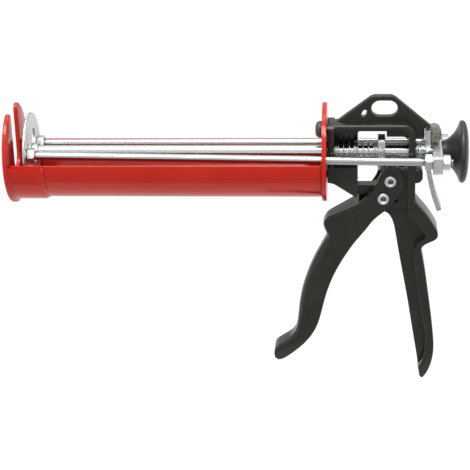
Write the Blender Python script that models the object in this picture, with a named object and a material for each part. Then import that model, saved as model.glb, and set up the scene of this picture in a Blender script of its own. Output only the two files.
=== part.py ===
"""Caulking gun for coaxial two-part cartridges, modelled in Blender.

The nozzle end points along -X, the pull knob along +X, the handle along -Z.
Lengths below are millimetres. The drive rod's axis is the X axis while modelling,
and the whole gun is then moved so that the hanging hole's centre is at the origin.
"""
import bpy
import bmesh
import math
from mathutils import Matrix, Vector

mm = 0.001

# overall sizes
cradleLength = 212.7
cradleRadius = 31.0
handleDrop = 167.0

# rods
rodRadius = 4.75
sideRodRadius = 2.9
sideRodY = 16.5
sideRodDrop = 3.4
pusherDrop = -1.7
nutAcross = 10.0
nutHeight = 5.0

# sheet metal
cradleWall = 1.2
collarWall = 1.2
plateThickness = 3.0
plateRim = 3.0
pusherThickness = 2.0

# pins
pinRadius = 2.5
pinHeadRadius = 4.0

# clearances
gap = 0.3
runFit = 0.35
pusherFit = 2.2
sideRodFit = 1.9

# fits worked out from the sizes above
plateRadius = cradleRadius + plateRim
frontPlateRadius = plateRadius + 1.0
pusherRadius = cradleRadius - cradleWall - pusherFit
frontX = -cradleLength
pusherX = frontX + 9.0
ventRadius = 5.6
ventPlace = (0.4 * sideRodY, 2.0 * rodRadius)
frameHalf = sideRodY - sideRodRadius - 1.6
frontFace = plateThickness + gap
wireRadius = 0.5
springRadius = rodRadius + 2.75
farWall = springRadius + 0.5
cavityFloor = -springRadius - 0.2
cheekOuter = frameHalf + 0.4
cheekInner = frameHalf - 3.0
blockHalf = cheekInner - runFit
camHalf = 3.0
slotHalf = camHalf + 0.5
fingerHalf = 8.0
webHalf = 3.0
pivot = (46.3, -17.5)
camPin = (41.6, -30.0)
hangHole = (42.0, 31.4)
leverHinge = (71.4, 15.0)
leverThickness = 3.2
leverTop = leverHinge[1] + 1.9
leverSlotStart = leverHinge[0] - leverThickness / 2.0 - 0.6
leverSlotEnd = leverHinge[0] + leverThickness / 2.0 + 0.4
thrustX = 37.7
thrustThickness = 5.0
crossX = 74.6
crossThickness = 6.4
crossHalfHeight = 6.7
rodTravel = 185.0


def clearScene():
    for thing in list(bpy.data.objects):
        bpy.data.objects.remove(thing, do_unlink=True)


def makeMaterial(name, colour, metallic, roughness):
    material = bpy.data.materials.new(name)
    material.use_nodes = True
    shader = material.node_tree.nodes["Principled BSDF"]
    shader.inputs["Base Color"].default_value = (*colour, 1.0)
    shader.inputs["Metallic"].default_value = metallic
    shader.inputs["Roughness"].default_value = roughness
    material.diffuse_color = (*colour, 1.0)
    return material


def addEmpty(name, point, parent=None):
    """An empty at a point given in gun millimetres."""
    empty = bpy.data.objects.new(name, None)
    bpy.context.scene.collection.objects.link(empty)
    place = (Vector(point) - Vector((hangHole[0], 0.0, hangHole[1]))) * mm
    empty.parent = parent
    if parent is not None:
        place = place - parent.location
    empty.location = place
    empty["gunPoint"] = point
    return empty


def meshFrom(name, build):
    form = bmesh.new()
    build(form)
    bmesh.ops.recalc_face_normals(form, faces=form.faces)
    mesh = bpy.data.meshes.new(name)
    form.to_mesh(mesh)
    form.free()
    return mesh


def place(name, mesh, material, empty, smooth=30.0):
    """Link a mesh that is in gun millimetres under its empty, in metres."""
    shift = Vector(empty["gunPoint"])
    mesh.transform(Matrix.Scale(mm, 4) @ Matrix.Translation(-shift))
    mesh.shade_smooth()
    mesh.set_sharp_from_angle(angle=math.radians(smooth))
    piece = bpy.data.objects.new(name, mesh)
    bpy.context.scene.collection.objects.link(piece)
    piece.parent = empty
    if material is not None:
        mesh.materials.clear()
        mesh.materials.append(material)
    return piece


def combine(target, other, operation):
    """Boolean the other object into the target and keep it as a hidden guide."""
    other.hide_render = True
    other.display_type = "WIRE"
    step = target.modifiers.new(other.name, "BOOLEAN")
    step.operation = operation
    step.solver = "EXACT"
    step.object = other


def cut(target, mesh, empty):
    combine(target, place("cutter_" + target.name, mesh, None, empty), "DIFFERENCE")


def join(target, mesh, empty):
    combine(target, place("added_" + target.name, mesh, None, empty), "UNION")


def prism(outline, low, high):
    """Extrude an XZ outline along Y."""
    def build(form):
        first = [form.verts.new((x, low, z)) for x, z in outline]
        second = [form.verts.new((x, high, z)) for x, z in outline]
        form.faces.new(first)
        form.faces.new(list(reversed(second)))
        count = len(outline)
        for index in range(count):
            following = (index + 1) % count
            form.faces.new((first[following], first[index], second[index], second[following]))
    return meshFrom("prism", build)


def plateX(outline, low, high):
    """Extrude a YZ outline along X."""
    def build(form):
        first = [form.verts.new((low, y, z)) for y, z in outline]
        second = [form.verts.new((high, y, z)) for y, z in outline]
        form.faces.new(first)
        form.faces.new(list(reversed(second)))
        count = len(outline)
        for index in range(count):
            following = (index + 1) % count
            form.faces.new((first[following], first[index], second[index], second[following]))
    return meshFrom("plate", build)


def turned(profile, y=0.0, z=0.0, steps=32, closed=False):
    """Turn a profile of (x, radius) about an axis along X through (y, z)."""
    def build(form):
        rings = []
        for x, radius in profile:
            if radius < 1e-6:
                continue
            ring = []
            for index in range(steps):
                angle = 2.0 * math.pi * index / steps
                ring.append(form.verts.new((x, y + radius * math.cos(angle),
                                            z + radius * math.sin(angle))))
            rings.append(ring)
        pairs = list(zip(rings, rings[1:]))
        if closed:
            pairs.append((rings[-1], rings[0]))
        for first, second in pairs:
            for index in range(steps):
                following = (index + 1) % steps
                form.faces.new((first[index], first[following],
                                second[following], second[index]))
        if not closed:
            form.faces.new(list(reversed(rings[0])))
            form.faces.new(rings[-1])
    return meshFrom("turned", build)


def pinY(profile, x, z, steps=24):
    """Turn a closed profile of (y, radius) about an axis along Y through (x, z)."""
    mesh = turned(profile, steps=steps, closed=profile[0][1] > 1e-6)
    swap = Matrix(((0, 1, 0, x), (1, 0, 0, 0), (0, 0, 1, z), (0, 0, 0, 1)))
    mesh.transform(swap)
    mesh.flip_normals()
    return mesh


def roundPart(x, z, radius, low, high, steps=24):
    return pinY([(low, 0.0), (low, radius), (high, radius), (high, 0.0)], x, z, steps)


def arc(x, z, radius, start, end, steps):
    """Points along an arc, angles in degrees."""
    points = []
    for index in range(steps + 1):
        angle = math.radians(start + (end - start) * index / steps)
        points.append((x + radius * math.cos(angle), z + radius * math.sin(angle)))
    return points


def smoothLine(points, steps=3):
    """Catmull-Rom curve through the points."""
    result = []
    count = len(points)
    for index in range(count - 1):
        before = points[max(index - 1, 0)]
        first = points[index]
        second = points[index + 1]
        after = points[min(index + 2, count - 1)]
        for step in range(steps):
            t = step / steps
            value = []
            for k in (0, 1):
                value.append(0.5 * (2 * first[k] + (second[k] - before[k]) * t
                             + (2 * before[k] - 5 * first[k] + 4 * second[k] - after[k]) * t * t
                             + (3 * first[k] - before[k] - 3 * second[k] + after[k]) * t ** 3))
            result.append(tuple(value))
    result.append(points[-1])
    return result


def stretched(points):
    """Handle and trigger outlines, drawn for a 167 mm drop, at the drop in use."""
    start = -45.0
    factor = (handleDrop + start) / (167.0 + start)
    return [(x, z if z > start else start + (z - start) * factor) for x, z in points]


def longRound(centreX, centreZ, length, height, steps=8):
    """A slot outline with rounded ends."""
    radius = height / 2.0
    half = length / 2.0 - radius
    return (arc(centreX + half, centreZ, radius, -90, 90, steps)
            + arc(centreX - half, centreZ, radius, 90, 270, steps))


def hexNut(x, y, z, boreRadius, turn=0.0):
    """A hexagonal nut with its axis along X."""
    def build(form):
        outer = nutAcross / math.sqrt(3.0)
        rings = []
        for place in (x, x + nutHeight):
            for radius, steps in ((outer, 24), (boreRadius, 24)):
                ring = []
                for index in range(steps):
                    angle = 2.0 * math.pi * index / steps
                    size = radius
                    if radius == outer:
                        inside = (angle % (math.pi / 3.0)) - math.pi / 6.0
                        size = (nutAcross / 2.0) / math.cos(inside)
                    ring.append(form.verts.new((place, y + size * math.cos(angle + turn),
                                                z + size * math.sin(angle + turn))))
                rings.append(ring)
        order = (0, 1, 3, 2)
        for number in range(4):
            first = rings[order[number]]
            second = rings[order[(number + 1) % 4]]
            for index in range(24):
                following = (index + 1) % 24
                form.faces.new((first[index], first[following],
                                second[following], second[index]))
    return meshFrom("nut", build)


def coil(startX, endX, radius, wire, turns, steps=12, sides=6):
    """A compression spring along X with closed ends."""
    def build(form):
        count = turns * steps
        rings = []
        for index in range(count + 1):
            share = index / count
            along = share
            angle = 2.0 * math.pi * turns * share
            centre = Vector((startX + wire + (endX - startX - 2 * wire) * along,
                             radius * math.cos(angle), radius * math.sin(angle)))
            outward = Vector((0.0, math.cos(angle), math.sin(angle)))
            ring = []
            for side in range(sides):
                around = 2.0 * math.pi * side / sides
                ring.append(form.verts.new(centre + outward * wire * math.cos(around)
                                           + Vector((1.0, 0.0, 0.0)) * wire * math.sin(around)))
            rings.append(ring)
        for first, second in zip(rings, rings[1:]):
            for side in range(sides):
                following = (side + 1) % sides
                form.faces.new((first[side], first[following],
                                second[following], second[side]))
        form.faces.new(rings[0])
        form.faces.new(list(reversed(rings[-1])))
    return meshFrom("coil", build)


def halfRing(outer, wall, startX, endX, rimDrop, steps=32):
    """A half-round sheet, open upwards, whose rims lie rimDrop below the axis."""
    tilt = math.degrees(math.asin(rimDrop / outer))
    outside = arc(0.0, 0.0, outer, 180 + tilt, 360 - tilt, steps)
    inside = arc(0.0, 0.0, outer - wall, 360 - tilt, 180 + tilt, steps)
    return plateX(outside + inside, startX, endX)


def sideRodZ(x, side):
    """Height of a side rod's centre line. Pusher and crosshead are rolled opposite ways."""
    share = (x - pusherX) / (crossX - pusherX)
    front = 1.75 + side * pusherDrop / 2.0
    rear = -0.3 + side * sideRodDrop / 2.0
    return front + share * (rear - front)


def makeCradle(root, red):
    cradle = halfRing(cradleRadius, cradleWall, frontX + gap, -gap, 0.0)
    place("cradle_shell", cradle, red, root)
    collarOuter = cradleRadius + gap + collarWall
    collar = halfRing(collarOuter, collarWall, frontX + gap, frontX + 22.5, 1.4)
    place("front_collar", collar, red, root)


def slottedOutline():
    """Nozzle plate outline: a disc with a U slot that is open at the top."""
    slotHalfWidth = frontPlateRadius * 0.278
    slotBottom = -frontPlateRadius * 0.058
    tip = frontPlateRadius * 0.13
    hornY = slotHalfWidth + tip
    hornZ = math.sqrt((frontPlateRadius - tip) ** 2 - hornY ** 2)
    lift = math.degrees(math.atan2(hornZ, hornY))
    outline = arc(0.0, 0.0, frontPlateRadius, lift, -180 - lift, 56)
    outline += arc(-hornY, hornZ, tip, 180 - lift, 0, 6)[1:]
    outline += arc(0.0, slotBottom, slotHalfWidth, 180, 360, 16)
    outline += arc(hornY, hornZ, tip, 180, lift, 6)[:-1]
    return outline


def makePlates(root, red):
    front = plateX(slottedOutline(), frontX - plateThickness, frontX)
    place("front_plate", front, red, root)
    disc = turned([(0.0, 0.0), (0.0, plateRadius), (plateThickness, plateRadius),
                   (plateThickness, 0.0)], steps=64)
    rear = place("rear_plate", disc, red, root)
    low = -5.0
    high = plateThickness + 5.0
    bore = turned([(low, 0.0), (low, rodRadius + 0.5), (high, rodRadius + 0.5), (high, 0.0)])
    cut(rear, bore, root)
    for side in (-1, 1):
        hole = sideRodRadius + sideRodFit
        centre = (sideRodZ(0.0, side) + sideRodZ(-rodTravel, side)) / 2.0
        cut(rear, turned([(low, 0.0), (low, hole), (high, hole), (high, 0.0)],
                         side * sideRodY, centre), root)
        stud = pinRadius + gap
        cut(rear, turned([(low, 0.0), (low, stud), (high, stud), (high, 0.0)],
                         0.0, side * 16.0, 16), root)


def makeStuds(root, black):
    for name, side in (("upper_stud", 1), ("lower_stud", -1)):
        profile = [(-4.9, 0.0), (-4.9, 3.4), (-4.2, 4.8), (-2.8, 5.7), (-1.2, 5.9), (-gap, 5.7),
                   (-gap, pinRadius), (frontFace + 2.6, pinRadius), (frontFace + 2.6, 0.0)]
        place(name, turned(profile, 0.0, side * 16.0, 24), black, root)


def frameOutline():
    top = arc(54.7, 13.8, 8.6, 90, 0, 6)
    return [(frontFace, 22.4)] + top + [
        (63.3, -37.0), (58.0, -37.0), (58.0, -29.4), (24.0, -29.4), (22.2, -29.2),
        (7.0, -19.4), (frontFace, -19.4)]


def cavityOutline():
    corner = arc(51.5, 12.2, 6.9, 90, 0, 5)
    return [(8.1, 19.1)] + corner + [(58.4, -9.9), (41.5, -9.9), (41.5, -17.5), (36.0, -22.8),
                                     (23.6, -22.8), (23.6, cavityFloor), (8.1, cavityFloor)]


def windowOutline():
    corner = arc(54.4, 4.0, 4.0, 90, 0, 4)
    return [(24.1, 12.0), (43.8, 12.0), (43.8, 8.0)] + corner + [
        (58.4, -10.2), (41.2, -10.2), (41.2, -17.8), (35.8, -23.2), (24.1, -23.2)]


handleFront = [(40.9, -42.5), (44.2, -43.6), (46.7, -46.3), (48.8, -51.2), (50.4, -58.8),
               (52.6, -72.0), (55.9, -90.0), (59.2, -108.0), (62.1, -126.0), (65.0, -143.5),
               (67.0, -156.0), (67.4, -161.5), (68.5, -165.8), (70.5, -167.0)]
handleRear = [(63.3, -33.0), (68.0, -38.4), (73.1, -44.8), (77.8, -52.4), (79.4, -56.7),
              (78.0, -60.5), (71.0, -64.2), (68.2, -67.2), (68.6, -71.0), (71.0, -84.2),
              (73.2, -99.7), (75.6, -116.6), (77.6, -133.7), (78.0, -145.2), (76.5, -155.0),
              (73.6, -162.5), (70.5, -167.0)]
flangeInner = [(58.4, -36.0), (60.0, -46.0), (64.1, -48.0), (71.0, -58.5), (66.3, -63.6),
               (63.5, -68.8), (64.3, -84.2), (66.3, -98.0), (68.3, -111.0), (70.7, -124.0),
               (72.2, -136.0), (71.5, -148.8), (69.4, -155.0), (67.4, -159.0)]


def handleOutline():
    front = smoothLine(handleFront, 2)
    rear = smoothLine(handleRear, 2)
    return stretched(list(reversed(front)) + [(40.9, -36.0), (52.0, -30.0)] + rear[:-1])


def flangeOutline():
    inner = smoothLine(flangeInner, 2)
    rear = smoothLine(handleRear, 2)
    return stretched(list(reversed(inner)) + rear + [(68.5, -165.8)])


def makeFrame(root, black):
    frame = place("frame_casting", prism(frameOutline(), -frameHalf, frameHalf), black, root)
    big = frameHalf + 5.0
    cheekRoom = [(24.0, -22.6), (24.0, -40.0), (58.05, -40.0), (58.05, -9.9), (41.2, -9.9),
                 (41.2, -17.6), (35.9, -22.6)]
    cut(frame, prism(cheekRoom, -big, -4.4), root)
    cut(frame, prism(cheekRoom, 4.4, big), root)
    cut(frame, prism(cavityOutline(), -big, farWall), root)
    cut(frame, prism(windowOutline(), farWall - 1.0, big), root)
    pivotBlock = [(41.5, -9.9), (59.0, -9.9), (59.0, -37.0), (40.0, -37.0), (31.0, -30.4),
                  (31.0, -27.0), (36.0, -22.8), (41.5, -17.5)]
    join(frame, prism(pivotBlock, -blockHalf, blockHalf), root)
    # rounded upper corners of the front flange, and the top bar falling away at the back
    for side in (-1, 1):
        corner = arc(frameHalf - 6.0, 16.4, 6.0, 90, 0, 6) + [(big, 16.0), (big, 24.0),
                                                              (frameHalf - 6.2, 24.0)]
        cut(frame, plateX([(side * y, z) for y, z in corner], 1.0, 8.1), root)
    cut(frame, plateX([(3.2, 22.6), (big, 15.4), (big, 24.0), (3.2, 24.0)], 8.2, 70.0), root)
    hangPlate = [(8.6, 21.4), (32.3, 39.3), (35.0, 40.3), (46.8, 40.3), (49.8, 38.8),
                 (73.4, 18.8), (76.5, 18.8), (76.5, 11.0), (leverSlotEnd, 9.4),
                 (leverSlotEnd, leverTop + 0.5), (leverSlotStart, leverTop + 0.5),
                 (leverSlotStart, 9.8), (63.0, 9.8), (63.0, -4.0), (61.0, -4.0),
                 (61.0, 18.0), (50.0, 21.4)]
    join(frame, prism(hangPlate, -2.7, 2.7), root)
    lug = [(leverSlotEnd, 9.4), (leverSlotEnd, 18.6), (76.5, 19.2), (79.2, 17.6), (80.6, 14.2),
           (80.4, 10.6), (78.8, 8.7), (76.2, 8.3)]
    join(frame, prism(lug, -5.0, 5.0), root)
    bump = [(62.0, -10.5), (66.4, -10.8), (68.2, -12.6), (68.4, -17.6), (66.8, -20.4), (62.0, -21.0)]
    join(frame, prism(bump, -7.0, 7.0), root)
    join(frame, prism(handleOutline(), -webHalf, webHalf), root)
    join(frame, prism(flangeOutline(), -frameHalf + 1.0, frameHalf - 1.0), root)
    slot = [(36.8, -36.2), (36.8, -5.0), (56.0, -5.0), (56.0, -36.2)]
    cut(frame, prism(slot, -slotHalf, slotHalf), root)
    sweepOuter = arc(pivot[0], pivot[1], 16.6, 225, 290, 10)
    sweepInner = arc(pivot[0], pivot[1], 10.0, 290, 225, 10)
    cut(frame, prism(sweepOuter + sweepInner, -big, big), root)
    cut(frame, roundPart(pivot[0], pivot[1], pinRadius + gap, -big, big), root)
    cut(frame, prism(longRound(hangHole[0], hangHole[1], 17.8, 11.2), -big, big), root)
    small = []
    for x, z in longRound(0.0, 0.0, 5.4, 3.0, 4):
        lean = math.radians(66.0)
        small.append((28.3 + x * math.cos(lean) - z * math.sin(lean),
                      28.0 + x * math.sin(lean) + z * math.cos(lean)))
    cut(frame, prism(small, -big, big), root)
    bore = rodRadius + runFit
    cut(frame, turned([(0.0, 0.0), (0.0, bore), (75.0, bore), (75.0, 0.0)]), root)
    for side in (-1, 1):
        stud = pinRadius + gap
        end = frontFace + 3.0
        cut(frame, turned([(0.0, 0.0), (0.0, stud), (end, stud), (end, 0.0)],
                          0.0, side * 16.0, 16), root)


def tubeRivet(half):
    """Closed profile of a hollow rivet along Y, for heads outside +-half."""
    inner = pinRadius - 0.9
    return [(-half - 1.0, pinHeadRadius - 0.5), (-half, pinHeadRadius), (-half, pinRadius),
            (half, pinRadius), (half, pinHeadRadius), (half + 1.0, pinHeadRadius - 0.5),
            (half + 1.0, inner + 0.8), (half - 0.6, inner), (-half + 0.6, inner),
            (-half - 1.0, inner + 0.8)]


triggerFront = [(22.4, -35.6), (12.7, -40.8), (7.4, -43.4), (3.0, -46.0), (0.3, -50.3),
                (1.0, -54.7), (2.6, -59.7), (-0.7, -66.9), (-6.0, -77.0), (-10.7, -88.2),
                (-14.4, -99.6), (-16.7, -111.0), (-18.0, -122.5), (-19.5, -131.5),
                (-23.3, -137.4), (-29.6, -142.0), (-34.2, -145.6), (-35.4, -149.6),
                (-35.0, -153.4), (-32.3, -155.0)]
triggerRear = [(-32.3, -155.0), (-26.3, -152.6), (-20.0, -147.8), (-12.5, -140.7), (-6.1, -131.4),
               (-2.9, -123.3), (-0.2, -113.0), (2.3, -102.8), (6.5, -91.4), (11.8, -80.3),
               (17.9, -70.2), (24.0, -61.4), (30.0, -53.7), (34.0, -47.7), (38.5, -42.8),
               (40.8, -40.6)]


def makeTrigger(joint, black):
    front = smoothLine(triggerFront, 2)
    rear = smoothLine(triggerRear, 2)
    outline = stretched(front[:-1] + rear + [(38.0, -36.0), (26.0, -34.0)])
    trigger = place("trigger_lever", prism(outline, -fingerHalf, fingerHalf), black, joint)
    lobe = arc(pivot[0] + 0.2, pivot[1], 10.1, 118, -40, 10)
    cheek = lobe + [(51.4, -29.4), (48.4, -33.8), (41.5, -40.4), (34.0, -47.4), (25.0, -47.4),
                    (18.5, -40.5), (22.6, -35.4), (27.6, -31.6), (31.0, -28.2), (34.2, -24.1),
                    (36.7, -20.1), (38.2, -16.2), (39.7, -12.3)]
    join(trigger, prism(cheek, -cheekOuter, cheekOuter), joint)
    room = [(25.0, -37.0), (24.0, 0.0), (62.0, 0.0), (62.0, -46.0), (50.0, -46.0), (34.0, -46.0)]
    cut(trigger, prism(room, -cheekInner, cheekInner), joint)
    channel = [(30.0, -36.0), (14.0, -44.0), (6.5, -47.5), (5.0, -52.0), (6.2, -58.0), (1.0, -70.0),
               (-5.5, -86.0), (-11.0, -104.0), (-13.6, -120.0), (-15.5, -129.0), (-19.5, -136.5),
               (-10.0, -133.0), (0.0, -120.0), (20.0, -80.0), (50.0, -50.0), (50.0, -36.0)]
    cut(trigger, prism(stretched(channel), -fingerHalf + 2.6, fingerHalf - 2.6), joint)
    for x, z in (pivot, camPin):
        cut(trigger, roundPart(x, z, pinRadius + gap, -30.0, 30.0), joint)


def makeCam(joint, steel):
    noseRadius = 4.6
    nose = (48.0, -rodRadius - 0.85 - noseRadius)
    outline = arc(nose[0], nose[1], noseRadius, 205, -30, 14)
    outline += arc(pivot[0], pivot[1], 6.4, 20, -60, 5)
    outline += arc(camPin[0], camPin[1], 4.5, -20, -200, 8)
    outline += arc(pivot[0], pivot[1], 5.2, 215, 165, 4)
    cam = place("drive_cam", prism(outline, -camHalf, camHalf), steel, joint)
    for x, z in (pivot, camPin):
        cut(cam, roundPart(x, z, pinRadius + gap, -9.0, 9.0), joint)


def makePins(root, joint, zinc):
    half = cheekOuter + gap
    place("pivot_pin", pinY(tubeRivet(half), *pivot), zinc, root)
    place("cam_rivet", pinY(tubeRivet(half), *camPin), zinc, joint)


def makeThrust(joint, root, steel):
    wide = max(rodRadius + 2.6, 7.3)
    top = 11.2
    narrow = camHalf
    outline = [(-wide, -8.4), (-narrow, -8.4), (-narrow, -12.8), (narrow, -12.8),
               (narrow, -8.4), (wide, -8.4),
               (wide, top - 3.2), (wide - 0.9, top - 0.9), (wide - 3.0, top), (3.0 - wide, top),
               (0.9 - wide, top - 0.9), (-wide, top - 3.2)]
    start = thrustX
    end = thrustX + thrustThickness
    plate = place("thrust_plate", plateX(outline, start, end), steel, joint)
    bore = rodRadius + runFit
    cut(plate, turned([(start - 4, 0.0), (start - 4, bore), (end + 4, bore), (end + 4, 0.0)]), joint)
    spring = coil(8.1 + gap, thrustX - gap, springRadius - wireRadius, wireRadius, 9)
    place("return_spring", spring, steel, root)


def leverOutline():
    """Release lever seen from the side: straight round the rod, then a curved tail."""
    middle = smoothLine([(71.4, leverTop), (71.4, 6.0), (71.4, -4.0), (71.8, -9.0), (73.0, -16.0),
                         (75.0, -25.0), (77.4, -33.0), (79.9, -40.0)], 2)
    left = []
    right = []
    for index, (x, z) in enumerate(middle):
        before = middle[max(index - 1, 0)]
        after = middle[min(index + 1, len(middle) - 1)]
        along = Vector((after[0] - before[0], after[1] - before[1])).normalized()
        across = Vector((-along.y, along.x)) * leverThickness / 2.0
        left.append((x + across.x, z + across.y))
        right.append((x - across.x, z - across.y))
    return left + list(reversed(right))


def makeRelease(joint, root, zinc, steel):
    half = rodRadius + 3.2
    lever = place("release_lever", prism(leverOutline(), -half, half), zinc, joint)
    bore = rodRadius + 0.8
    cut(lever, turned([(66.0, 0.0), (66.0, bore), (78.0, bore), (78.0, 0.0)]), joint)
    end = leverHinge[0] - leverThickness / 2.0 - gap
    place("release_spring", coil(63.3 + gap, end, rodRadius + 1.4, wireRadius, 3), steel, root)


def rodAlong(startX, endX, side, radius, steps=16):
    """A straight side rod from one X to the other, with a domed free end."""
    def build(form):
        rings = []
        stations = [(startX, radius - 0.5), (startX + 0.5, radius), (endX - 1.2, radius),
                    (endX - 0.3, radius * 0.7), (endX, 0.0)]
        for x, size in stations:
            z = sideRodZ(x, side)
            count = steps if size > 0 else 1
            rings.append([form.verts.new((x, side * sideRodY + size * math.cos(2 * math.pi * k / steps),
                                          z + size * math.sin(2 * math.pi * k / steps)))
                          for k in range(count)])
        for first, second in zip(rings, rings[1:]):
            for k in range(steps):
                n = (k + 1) % steps
                corners = [first[k], first[n]]
                if len(second) == 1:
                    corners.append(second[0])
                else:
                    corners += [second[n], second[k]]
                form.faces.new(corners)
        form.faces.new(list(reversed(rings[0])))
    return meshFrom("rod", build)


def makePusher(slide, zinc):
    back = pusherX + pusherThickness
    disc = place("pusher_disc", turned([(pusherX, 0.0), (pusherX, pusherRadius - 0.6),
                 (pusherX + 0.6, pusherRadius), (back, pusherRadius), (back, 0.0)], steps=56), zinc, slide)
    holes = [(0.0, 0.0, rodRadius)]
    for side in (-1, 1):
        holes.append((side * sideRodY, sideRodZ(pusherX, side), sideRodRadius))
    for y, z, radius in holes:
        bore = radius + gap
        cutter = [(pusherX - 3, 0.0), (pusherX - 3, bore), (back + 3, bore), (back + 3, 0.0)]
        cut(disc, turned(cutter, y, z, 24), slide)
    vent = [(pusherX - 3, 0.0), (pusherX - 3, ventRadius), (back + 3, ventRadius), (back + 3, 0.0)]
    cut(disc, turned(vent, *ventPlace, 24), slide)
    nutX = back + gap
    for word, side in (("near", -1), ("far", 1)):
        place(word + "_front_nut", hexNut(nutX, side * sideRodY, sideRodZ(nutX, side),
                                          sideRodRadius + gap), zinc, slide)
    outer = rodRadius + 1.4
    end = nutX + nutHeight - 1.0
    collar = [(nutX, rodRadius + gap), (nutX, outer), (end, outer), (end, rodRadius + gap)]
    place("centre_front_nut", turned(collar, steps=24, closed=True), zinc, slide)


def makeRods(slide, steel):
    end = crossX + crossThickness + 12.0
    place("drive_rod", turned([(pusherX + 0.4, 0.0), (pusherX + 0.4, rodRadius - 0.5),
          (pusherX + 0.9, rodRadius), (crossX - 1.0, rodRadius), (crossX - 0.5, rodRadius - 1.2),
          (end - 0.6, rodRadius - 1.2), (end, rodRadius - 1.8), (end, 0.0)], steps=24), steel, slide)
    tail = crossX + crossThickness + nutHeight + 2.4
    for name, side in (("near_side_rod", -1), ("far_side_rod", 1)):
        place(name, rodAlong(pusherX + 0.4, tail, side, sideRodRadius), steel, slide)


def makeCrosshead(slide, zinc, steel):
    half = sideRodY + 9.3
    high = crossHalfHeight
    outline = [(-half, -high + 2.6), (-half + 2.4, -high), (half - 2.4, -high), (half, -high + 2.6),
               (half, high - 1.0), (half - 1.0, high), (1.0 - half, high), (-half, high - 1.0)]
    tilt = math.atan2(sideRodDrop / 2.0, sideRodY)
    turnedOutline = []
    for y, z in outline:
        turnedOutline.append((y * math.cos(tilt) - z * math.sin(tilt),
                              y * math.sin(tilt) + z * math.cos(tilt)))
    bar = place("crosshead", plateX(turnedOutline, crossX, crossX + crossThickness), zinc, slide)
    start = crossX - 3.0
    end = crossX + crossThickness + 3.0
    bore = rodRadius - 1.2 + gap
    cut(bar, turned([(start, 0.0), (start, bore), (end, bore), (end, 0.0)]), slide)
    middle = crossX + crossThickness / 2.0
    sideBore = sideRodRadius + gap
    for side, word in ((-1, "near"), (1, "far")):
        z = sideRodZ(middle, side)
        cut(bar, turned([(start, 0.0), (start, sideBore), (end, sideBore), (end, 0.0)],
                        side * sideRodY, z, 20), slide)
        front = crossX - gap - nutHeight + 1.2
        place(word + "_jam_nut", hexNut(front - 1.2, side * sideRodY, sideRodZ(front, side), sideBore),
              zinc, slide)
        rear = crossX + crossThickness + gap
        place(word + "_rear_nut", hexNut(rear, side * sideRodY, sideRodZ(rear, side), sideBore),
              zinc, slide)


def makeKnob(slide, plastic, brass):
    start = crossX + crossThickness + gap
    profile = [(start, 0.0), (start, 7.4), (start + 3.6, 8.8), (start + 5.9, 10.8), (start + 8.4, 13.4),
               (start + 10.4, 17.0), (start + 11.6, 20.0), (start + 13.0, 21.2), (start + 14.4, 21.3),
               (start + 15.6, 20.4), (start + 16.8, 17.0), (start + 17.5, 11.0), (start + 17.8, 5.0)]
    knob = place("knob", turned(profile, steps=40), plastic, slide)
    outer = rodRadius + 1.3
    deep = start + 12.3
    cut(knob, turned([(start - 2, 0.0), (start - 2, outer), (deep, outer), (deep, 0.0)], steps=24), slide)
    bore = rodRadius - 1.2 + gap
    insert = [(start + 0.4, bore), (start + 0.4, outer - gap), (deep - 0.7, outer - gap),
              (deep - 0.7, bore)]
    place("knob_insert", turned(insert, steps=24, closed=True), brass, slide)


def main():
    clearScene()
    red = makeMaterial("red_paint", (0.45, 0.02, 0.012), 0.0, 0.3)
    black = makeMaterial("black_casting", (0.02, 0.02, 0.018), 0.0, 0.45)
    zinc = makeMaterial("zinc_plate", (0.62, 0.64, 0.66), 1.0, 0.3)
    steel = makeMaterial("bright_steel", (0.6, 0.6, 0.6), 1.0, 0.25)
    plastic = makeMaterial("black_plastic", (0.01, 0.01, 0.01), 0.0, 0.2)
    brass = makeMaterial("brass", (0.6, 0.45, 0.2), 1.0, 0.35)
    root = addEmpty("gun_frame", (hangHole[0], 0.0, hangHole[1]))
    slide = addEmpty("rod_slide", (0.0, 0.0, 0.0), root)
    trigger = addEmpty("trigger_hinge", (pivot[0], 0.0, pivot[1]), root)
    thrust = addEmpty("thrust_slide", (thrustX, 0.0, 0.0), root)
    release = addEmpty("release_hinge", (leverHinge[0], 0.0, leverHinge[1]), root)
    makeCradle(root, red)
    makePlates(root, red)
    makeStuds(root, black)
    makeFrame(root, black)
    makePins(root, trigger, zinc)
    makeTrigger(trigger, black)
    makeCam(trigger, steel)
    makeThrust(thrust, root, steel)
    makeRelease(release, root, zinc, steel)
    makePusher(slide, zinc)
    makeRods(slide, steel)
    makeCrosshead(slide, zinc, steel)
    makeKnob(slide, plastic, brass)


main()
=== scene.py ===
import math
import bmesh
import bpy
from mathutils import Matrix, Vector


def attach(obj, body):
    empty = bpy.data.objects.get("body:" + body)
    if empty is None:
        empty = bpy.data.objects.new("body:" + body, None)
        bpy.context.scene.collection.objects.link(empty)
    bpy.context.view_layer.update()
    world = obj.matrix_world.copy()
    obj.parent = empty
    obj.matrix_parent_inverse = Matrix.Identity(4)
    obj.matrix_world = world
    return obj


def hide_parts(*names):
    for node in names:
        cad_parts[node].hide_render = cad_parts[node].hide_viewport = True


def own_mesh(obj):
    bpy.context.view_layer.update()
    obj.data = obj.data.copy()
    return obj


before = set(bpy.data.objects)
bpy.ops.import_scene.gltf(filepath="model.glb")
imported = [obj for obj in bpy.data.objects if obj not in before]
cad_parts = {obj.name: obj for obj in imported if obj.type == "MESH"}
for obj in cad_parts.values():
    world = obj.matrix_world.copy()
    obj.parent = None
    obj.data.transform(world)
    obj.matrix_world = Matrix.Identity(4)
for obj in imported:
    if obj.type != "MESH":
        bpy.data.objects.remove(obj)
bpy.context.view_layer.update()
print("frame loaded")

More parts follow.
